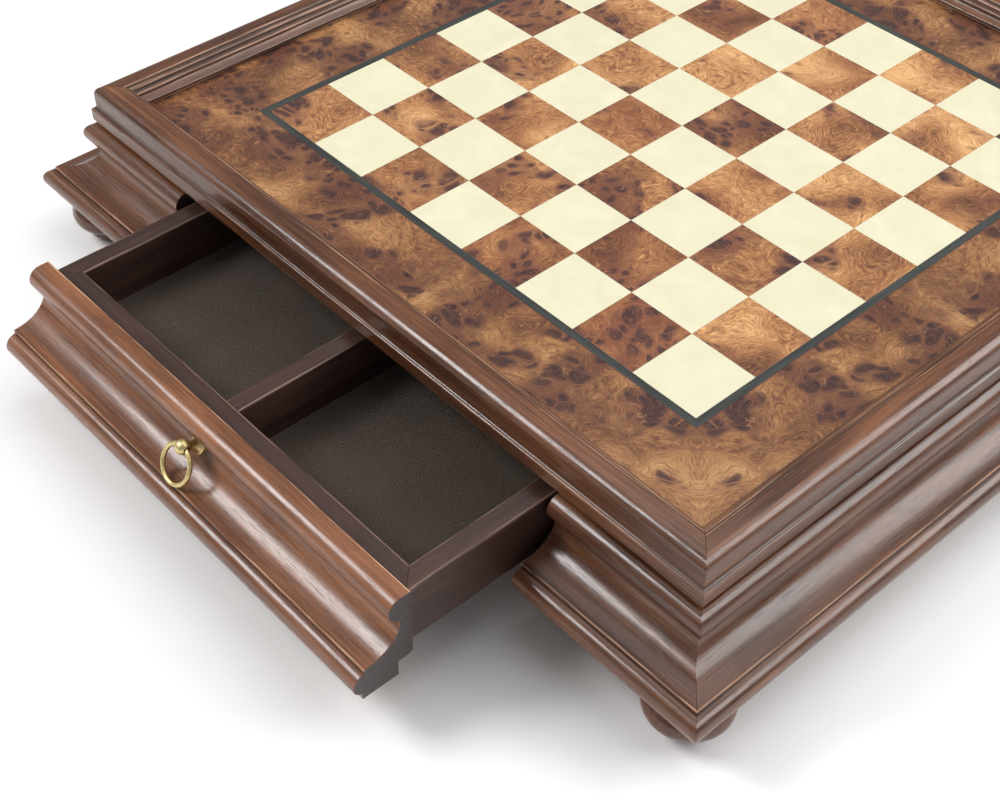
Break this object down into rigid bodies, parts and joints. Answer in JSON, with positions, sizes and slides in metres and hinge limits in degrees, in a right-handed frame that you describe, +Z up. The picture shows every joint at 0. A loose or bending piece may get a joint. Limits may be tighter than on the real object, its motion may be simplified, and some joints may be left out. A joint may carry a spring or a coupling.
{
  "type": "tabletop chess cabinet",
  "caption": "Square tabletop chess and draughts board inlaid in a raised frame, on a moulded base with a ring-pull drawer and turned feet.",
  "frame": {"origin": "centre of the bounding box, at the surface the feet stand on, with the drawer as far open as it is in the picture (89 mm)", "axes": "+Z up; the drawer opens towards -Y; +X is to the right of someone who faces the drawer"},
  "size_m": [0.5132, 0.6022, 0.0995],
  "materials": {
    "walnut": "satin lacquer",
    "turned_walnut": "satin lacquer",
    "burl": "satin lacquer",
    "chequer_veneer": "satin lacquer",
    "black_stringing": "satin lacquer",
    "drawer_wood": "satin lacquer",
    "carcass_wood": "plain",
    "lining": "matt, finely woven",
    "felt": "matt",
    "brass": "antiqued satin"
  },
  "bodies": {
    "cabinet": {"base_moulding_back": "walnut", "base_moulding_front_left": "walnut", "base_moulding_front_right": "walnut", "base_moulding_left": "walnut", "base_moulding_right": "walnut", "board_backing_veneer": "walnut", "board_core": "carcass_wood", "bottom_panel": "carcass_wood", "burl_border_back": "burl", "burl_border_front": "burl", "burl_border_left": "burl", "burl_border_right": "burl", "carcass_front_left": "carcass_wood", "carcass_front_right": "carcass_wood", "carcass_wall_back": "carcass_wood", "carcass_wall_left": "carcass_wood", "carcass_wall_right": "carcass_wood", "chequer_field": "chequer_veneer", "corner_block_back_left": "carcass_wood", "corner_block_back_right": "carcass_wood", "corner_block_front_left": "carcass_wood", "corner_block_front_right": "carcass_wood", "drawer_guide_left": "carcass_wood", "drawer_guide_right": "carcass_wood", "drawer_rail": "walnut", "drawer_runner_left": "carcass_wood", "drawer_runner_right": "carcass_wood", "drawer_stop_left": "carcass_wood", "drawer_stop_right": "carcass_wood", "foot_back_left": "turned_walnut", "foot_back_right": "turned_walnut", "foot_front_left": "turned_walnut", "foot_front_right": "turned_walnut", "foot_pad_back_left": "felt", "foot_pad_back_right": "felt", "foot_pad_front_left": "felt", "foot_pad_front_right": "felt", "rim_back": "walnut", "rim_front": "walnut", "rim_left": "walnut", "rim_right": "walnut", "stringing_back": "black_stringing", "stringing_front": "black_stringing", "stringing_left": "black_stringing", "stringing_right": "black_stringing"},
    "drawer": {"compartment_lining_left": "lining", "compartment_lining_right": "lining", "drawer_back": "drawer_wood", "drawer_bottom": "carcass_wood", "drawer_box_front": "drawer_wood", "drawer_divider": "drawer_wood", "drawer_front_moulding": "walnut", "drawer_side_left": "drawer_wood", "drawer_side_right": "drawer_wood", "pull_post": "brass", "pull_rosette": "brass"},
    "ring": {"pull_ring": "brass"}
  },
  "joints": [
    {"name": "drawer_slide", "type": "slide", "parent": "cabinet", "child": "drawer", "axis": [0, -1, 0], "range_m": [-0.089, 0.144]},
    {"name": "ring_swing", "type": "hinge", "parent": "drawer", "child": "ring", "pos_m": [0, -0.28594, 0.06217], "axis": [-1, 0, 0], "range_deg": [0, 175]}
  ]
}
